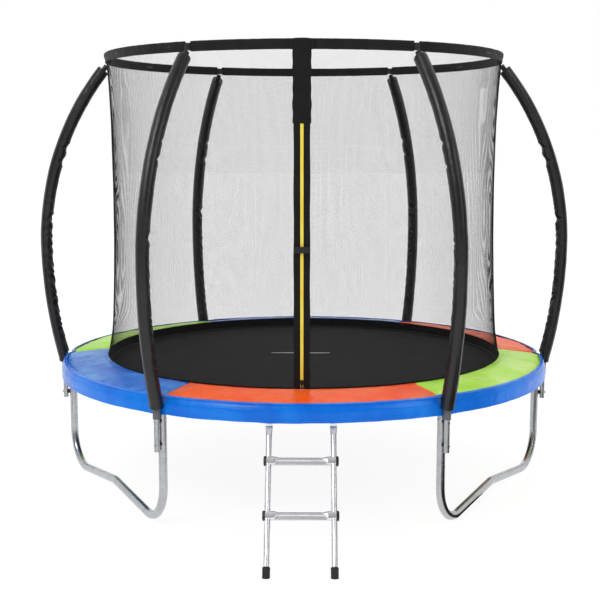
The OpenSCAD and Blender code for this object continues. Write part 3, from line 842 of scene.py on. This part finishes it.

# mat and springs

matSet = {"radius": 1.030, "top": 0.576, "thick": 0.002, "sectors": 24, "band": 0.045, "held": 1.189}
springSet = {
    "count": 48, "inner": 1.056, "outer": 1.183, "innerZ": 0.574, "outerZ": 0.5515,
    "coil": 0.0068, "wire": 0.0011, "turns": 30,
    # points of the outer hook, from the spring's end
    "outHook": ((-0.007, 0, 0.004), (-0.001, 0, 0.003), (0.003, 0, -0.001), (0.0045, 0, -0.007),
                (0.0035, 0, -0.012)),
}
markSet = {
    "barFrom": -0.170, "barTo": 0.138, "barY": 0.090, "wide": 0.010, "strokeX": 0.015, "strokeTo": -0.090,
}


def sinkWithMat(piece):
    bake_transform(piece)


def makeMatSector(number, first, step):
    build = startBuild()
    degrees = firstAxis(first, first + step, 9)
    radius = secondAxis(0.0006, matSet["radius"], 44)
    middle = matSet["top"] - matSet["thick"] / 2
    dip = -0.003 * (1 - (radius / matSet["radius"]) ** 2)
    addCloth(build, polar(radius, degrees, middle + dip), matSet["thick"])
    # edge band of webbing, with its rows of thread
    edge = secondAxis(matSet["radius"] - matSet["band"], matSet["radius"], 6)
    addCloth(build, polar(edge, degrees, matSet["top"] + 0.0002 - 0.0002 * (edge < 1)), 0.0014, finish=1)
    for radiusAt in (matSet["radius"] - matSet["band"] + 0.004, matSet["radius"] - 0.006):
        addStitches(build, polar(radiusAt, degrees[:, 0], matSet["top"] + 0.001), finish=2)
    # panel seam at the start of every fourth sector
    if number % 4 == 1:
        out = np.linspace(0.05, 0.98, 60)
        line = polar(out, first, matSet["top"] - 0.0004 - 0.0026 * (1 - out**2))
        addStitches(build, line, finish=2)
    sector = makePiece(f"mat_sector_{number:02d}", build, [matCloth, webbing, threadBlack],
                       body=None, replaces=("mat",))
    sinkWithMat(sector)


step = 360 / matSet["sectors"]
for n in range(matSet["sectors"]):
    makeMatSector(n + 1, n * step, step)


def makeMark(name, first, last):
    # a flat strip sewn on the mat
    build = startBuild()
    first, last = np.array(first, float), np.array(last, float)
    share = firstAxis(0, 1, 24)
    along = unit((last - first)[None])[0]
    side = np.array((-along[1], along[0]))
    line = first + (last - first) * share
    lift = matSet["top"] + 0.0008 - 0.003 * (1 - (np.linalg.norm(line, axis=1) / matSet["radius"]) ** 2)
    across = np.linspace(-1, 1, 3)[None, :, None] * side * markSet["wide"] / 2
    flat = line[:, None] + across
    points = np.concatenate([flat, np.broadcast_to(lift[:, None, None], flat.shape[:2] + (1,))], 2)
    addCloth(build, points, 0.0012)
    mark = makePiece(name, build, [threadWhite], body=None)
    sinkWithMat(mark)


half = 0.016
makeMark("mark_bar_left", (markSet["barFrom"], markSet["barY"]), (-half, markSet["barY"]))
makeMark("mark_bar_middle", (-half, markSet["barY"]), (2 * half, markSet["barY"]))
makeMark("mark_bar_right", (2 * half, markSet["barY"]), (markSet["barTo"], markSet["barY"]))
makeMark("mark_stroke_back", (markSet["strokeX"], markSet["barY"] * 0.85), (markSet["strokeX"], 0.004))
makeMark("mark_stroke_front", (markSet["strokeX"], -0.004), (markSet["strokeX"], markSet["strokeTo"]))


def makeSpring(number, azimuth):
    build = startBuild()
    s = springSet
    length = math.hypot(s["outer"] - s["inner"], s["outerZ"] - s["innerZ"])
    # hook over the ring, coil, hook down into the frame
    hookTurn = np.linspace(-0.6 * math.pi, 0.75 * math.pi, 10)
    inHook = [(-0.001 - 0.0055 * math.cos(a), 0.0, 0.0055 * math.sin(a)) for a in hookTurn]
    turn = np.linspace(0, 2 * math.pi * s["turns"], s["turns"] * 9 + 1)
    bodyStart, bodyEnd = 0.008, length - 0.011
    taper = np.minimum(1, 0.35 + np.minimum(turn, turn[-1] - turn) / 4)
    bodyAlong = bodyStart + (bodyEnd - bodyStart) * turn / turn[-1]
    coil = np.column_stack([bodyAlong, s["coil"] * taper * np.sin(turn), s["coil"] * taper * np.cos(turn)])
    outHook = np.array(s["outHook"]) + (length, 0, 0)
    path = np.concatenate([np.array(inHook), coil, outHook])
    ahead = np.array((s["outer"] - s["inner"], s["outerZ"] - s["innerZ"])) / length
    out, beside = polar(1, azimuth, 0), polar(1, azimuth + 90, 0)
    along = ahead[0] * out + ahead[1] * upward
    across = -ahead[1] * out + ahead[0] * upward
    start = s["inner"] * out + s["innerZ"] * upward
    placed = start + path[:, :1] * along + path[:, 1:2] * beside + path[:, 2:] * across
    addTube(build, placed, s["wire"], 5)
    # ring sewn to the mat
    corners = np.array([(1.0325, -0.013), (1.0325, 0.013), (1.0535, 0.0)])
    ring = []
    for k in range(3):
        here, back, front = corners[k], corners[k - 1], corners[(k + 1) % 3]
        corner = here * 0.84 + (back + front) * 0.08
        ring += [here + (back - here) * 0.16, corner, here + (front - here) * 0.16]
    ring = np.array(ring)
    ringPath = ring[:, :1] * out + ring[:, 1:] * beside + (matSet["top"] - 0.0022) * upward
    addTube(build, ringPath, 0.0013, 6, closed=True)
    # loop of webbing that holds the ring
    bend = firstAxis(-1, 1, 9)
    widthAt = secondAxis(-0.0095, 0.0095, 3)
    fold = 1.0365 - 0.022 * np.abs(bend) + 0.001
    rise = 0.0028 * np.sign(bend) * smooth(np.abs(bend) * 2.5)
    height = matSet["top"] - 0.0015 + rise
    loop = fold[..., None] * out + widthAt[..., None] * beside + height[..., None] * upward
    addCloth(build, np.broadcast_to(loop, (9, 3, 3)).copy(), 0.0011, finish=1)
    spring = makePiece(f"spring_{number:02d}", build, [springSteel, webbing],
                       body=None, replaces=("springs", "v_rings"))
    sinkWithMat(spring)


for n in range(springSet["count"]):
    makeSpring(n + 1, (n + 0.5) * 360 / springSet["count"])
print("mat and springs made")

# ladder

ladderSet = {
    "railX": 0.134, "reach": 1.614, "strapY": -1.2238, "kinkZ": 0.505, "rungs": (0.39, 0.756),
    "cuffHalf": 0.0185, "cuffDeep": 0.0165, "cuffIn": 0.112, "middleAt": 0.088, "end": 0.1490,
    "rollDeep": 0.0125, "dip": 0.004, "rollLow": -0.004, "screw": 0.0036,
    # out of the plane and up, down the flange
    "flange": ((-0.0035, 0), (-0.0035, -0.006), (-0.0035, -0.012), (-0.0035, -0.0165), (-0.0015, -0.0182),
               (0.002, -0.0184)),
}
footSet = {"height": 0.040, "radius": 0.016, "ribs": 4}
ladderLean = math.atan2(ladderSet["reach"] + ladderSet["strapY"], ladderSet["kinkZ"])


def onLadder(points, share):
    # points as x, out of the ladder's plane, up the rail
    y0 = -ladderSet["reach"] + (ladderSet["strapY"] + ladderSet["reach"]) * share
    x, out, up = points[..., 0], points[..., 1], points[..., 2]
    sin, cos = math.sin(ladderLean), math.cos(ladderLean)
    return np.stack([x, y0 + out * cos + up * sin, ladderSet["kinkZ"] * share - out * sin + up * cos], -1)


def makeRung(name, share, cadNode):
    build = startBuild()
    s = ladderSet
    cuff = np.linspace(s["middleAt"], s["end"], 26)
    between = np.linspace(-s["middleAt"], s["middleAt"], 12)[1:-1]
    x = np.concatenate([-cuff[::-1], between, cuff])[:, None]
    flare = smooth((np.abs(x) - s["middleAt"]) / (s["cuffIn"] - s["middleAt"]))
    top = s["cuffHalf"] - s["dip"] * (1 - flare)
    low = s["rollLow"] + (-s["cuffHalf"] - s["rollLow"]) * flare
    deep = s["rollDeep"] + (s["cuffDeep"] - s["rollDeep"]) * flare
    close = 1 - 0.06 * dent(np.abs(x) - s["end"], 0.002)
    turn = circle(32)
    square = 1 - 0.3 * flare  # rounder in the middle, squarer at the cuffs
    out = powered(np.cos(turn), square) * deep * close
    up = (top + low) / 2 + powered(np.sin(turn), square) * (top - low) / 2 * close
    addShell(build, onLadder(gather(x, out, up), share))
    # flange under the roll, with a turned lower edge
    along = firstAxis(-s["cuffIn"] - 0.004, s["cuffIn"] + 0.004, 20)
    drop = np.array(s["flange"])
    flange = gather(along, drop[None, :, 0], drop[None, :, 1])
    addCloth(build, onLadder(flange, share), 0.0014)
    # grip ribs along the top of the tread
    rib = np.linspace(-s["middleAt"], s["middleAt"], 14)
    for offset in (-0.0055, 0.0, 0.0055):
        crest = s["cuffHalf"] - s["dip"] - 0.0004 - 0.9 * offset**2 / s["rollDeep"]
        addTube(build, onLadder(gather(rib, offset, crest), share), 0.0009, 6)
    # a screw in the front of each cuff
    radius = s["screw"]
    rings = firstAxis(0, math.pi / 2, 6)
    spin = circle(14)
    for side in (-1, 1):
        x = side * s["railX"] + radius * np.cos(rings) * np.cos(spin)
        out = -s["cuffDeep"] - 0.0018 * np.sin(rings) + 0.0004
        head = gather(x, out, radius * np.cos(rings) * np.sin(spin))
        addShell(build, onLadder(head[:-1], share), 1)
    makePiece(name, build, [ladderSteel, springSteel], body="ladder",
              replaces=(cadNode,), sharp=45)


capSet = {
    "square": 0.6, "deeper": 0.0003,
    # along from the cuff's end, and size against the cuff
    "steps": ((-0.0064, 1.0), (-0.0062, 1.04), (0.0028, 1.04), (0.0044, 0.94), (0.0054, 0.7), (0.0056, 0.3)),
}


def makeCaps():
    build = startBuild()
    turn = circle(32)
    along, scale = np.array(capSet["steps"]).T[:, :, None]
    out = powered(np.cos(turn), capSet["square"]) * (ladderSet["cuffDeep"] + capSet["deeper"]) * scale
    up = powered(np.sin(turn), capSet["square"]) * ladderSet["cuffHalf"] * scale
    for share in ladderSet["rungs"]:
        for side in (-1, 1):
            points = onLadder(gather(side * (ladderSet["end"] + along), out, up), share)
            addShell(build, points)
    makePiece("rung_end_caps", build, [blackPlastic], body="ladder",
              replaces=("ladder_caps",))


def makeFeet():
    build = startBuild()
    turn = circle(40)
    height = firstAxis(-0.012, footSet["height"], 60)
    ribbing = 0.0011 * smooth(np.abs(np.sin((height / footSet["height"]) * math.pi * footSet["ribs"])) * 1.6)
    collar = 0.0008 * dent(height - footSet["height"] + 0.003, 0.003)
    radius = footSet["radius"] - 0.0014 + ribbing + collar
    radius = radius - 0.0025 * dent(height - footSet["height"], 0.0018)
    for side in (-1, 1):
        x = side * ladderSet["railX"] + radius * np.cos(turn)
        placed = onLadder(gather(x, radius * np.sin(turn), height), 0)
        placed[..., 2] = np.maximum(placed[..., 2], 0.0)
        addShell(build, placed)
    makePiece("ladder_boots", build, [blackRubber], body="ladder", replaces=("ladder_feet",))


for level, share in zip(("lower", "upper"), ladderSet["rungs"]):
    makeRung("ladder_tread_" + level, share, "ladder_rung_" + level)
makeCaps()
makeFeet()
print("ladder made")

# floor, world and lights

studioSet = {
    "floor": 0.15, "glow": 0.91, "world": (-0.6, 0.3, 0.32, 1.0),
    "lights": (
        ("key light", (-3.6, -5.2, 5.6), 3.0, 190), ("fill light", (4.6, -4.0, 3.6), 3.0, 60),
        ("back light", (1.0, 5.5, 5.2), 4.0, 60),
    ),
    "cards": (
        ("right_card", (3.666, -3.207, 0.02), (1.199, 2.967, 0), (0, 0, 3.38), 0.02),
        ("left_card", (-4.815, -1.032, 0.02), (0.930, -1.994, 0), (0, 0, 3.38), 0.12),
        ("right_board", (0.7, -2.3, 0.004), (4.3, 0, 0), (0, 1.7, 0), 0.02),
        ("left_board", (-5.0, -1.9, 0.004), (3.2, 0, 0), (0, 0.9, 0), 0.12),
    ),
}


def makeStage(name, build, finish):
    mesh = bpy.data.meshes.new(name)
    mesh.from_pydata(np.concatenate(build["points"]), [], np.concatenate(build["quads"]).tolist())
    mesh.materials.append(finish)
    board = bpy.data.objects.new(name, mesh)
    bpy.context.scene.collection.objects.link(board)
    return board


def makeFloor():
    build = startBuild()
    reach = np.linspace(-60, 60, 25)
    addGrid(build, gather(reach[:, None], reach[None, :], -0.0006))
    mat, surface = newFinish("white floor", Roughness=0.9, Specular_IOR_Level=0.1)
    tone, albedo = cloud(mat, objectPlace(mat), 1.3, 3), studioSet["floor"]
    stops = [(at, (albedo * part, albedo * part, albedo * part, 1)) for at, part in ((0.2, 0.99), (0.8, 1))]
    link(mat, tint(mat, tone, stops), surface, "Base Color")
    surface.inputs["Emission Color"].default_value = (1, 1, 1, 1)
    surface.inputs["Emission Strength"].default_value = studioSet["glow"]
    makeStage("studio_floor", build, mat)


def makeWorld():
    world = bpy.data.worlds.new("studio")
    world.use_nodes = True
    bpy.context.scene.world = world
    tree = world.node_tree
    place = tree.nodes.new("ShaderNodeTexCoord")
    split = tree.nodes.new("ShaderNodeSeparateXYZ")
    band = tree.nodes.new("ShaderNodeMapRange")
    tree.links.new(place.outputs["Generated"], split.inputs["Vector"])
    tree.links.new(split.outputs["Y"], band.inputs["Value"])
    for key, value in zip(("From Min", "From Max", "To Min", "To Max"), studioSet["world"]):
        band.inputs[key].default_value = value
    tree.links.new(band.outputs["Result"], tree.nodes["Background"].inputs["Strength"])
    tree.nodes["Background"].inputs["Color"].default_value = (1, 1, 1, 1)


def makeLight(name, place, size, power):
    data = bpy.data.lights.new(name, "AREA")
    data.shape, data.size, data.energy = "DISK", size, power
    light = bpy.data.objects.new(name, data)
    light.location = place
    light.rotation_euler = (Vector((0, 0, 1.0)) - Vector(place)).to_track_quat("-Z", "Y").to_euler()
    bpy.context.scene.collection.objects.link(light)


def makeCard(name, corner, wide, tall, tone):
    # a board that only shows in reflections, for the dark bands on bright tube
    build = startBuild()
    share = np.linspace(0, 1, 5)[:, None, None]
    addGrid(build, np.array(corner) + share * np.array(wide) + share.reshape(1, 5, 1) * np.array(tall))
    finish = newFinish(name, Roughness=1.0, Specular_IOR_Level=0.0, Base_Color=(tone, tone, tone, 1))[0]
    card = makeStage(name, build, finish)
    card.visible_camera = card.visible_diffuse = card.visible_shadow = False
    card.visible_transmission = card.visible_volume_scatter = False


makeFloor()
makeWorld()
for card in studioSet["cards"]:
    makeCard(*card)
for light in studioSet["lights"]:
    makeLight(*light)
bpy.context.scene.view_settings.view_transform = "Standard"
print("studio made")
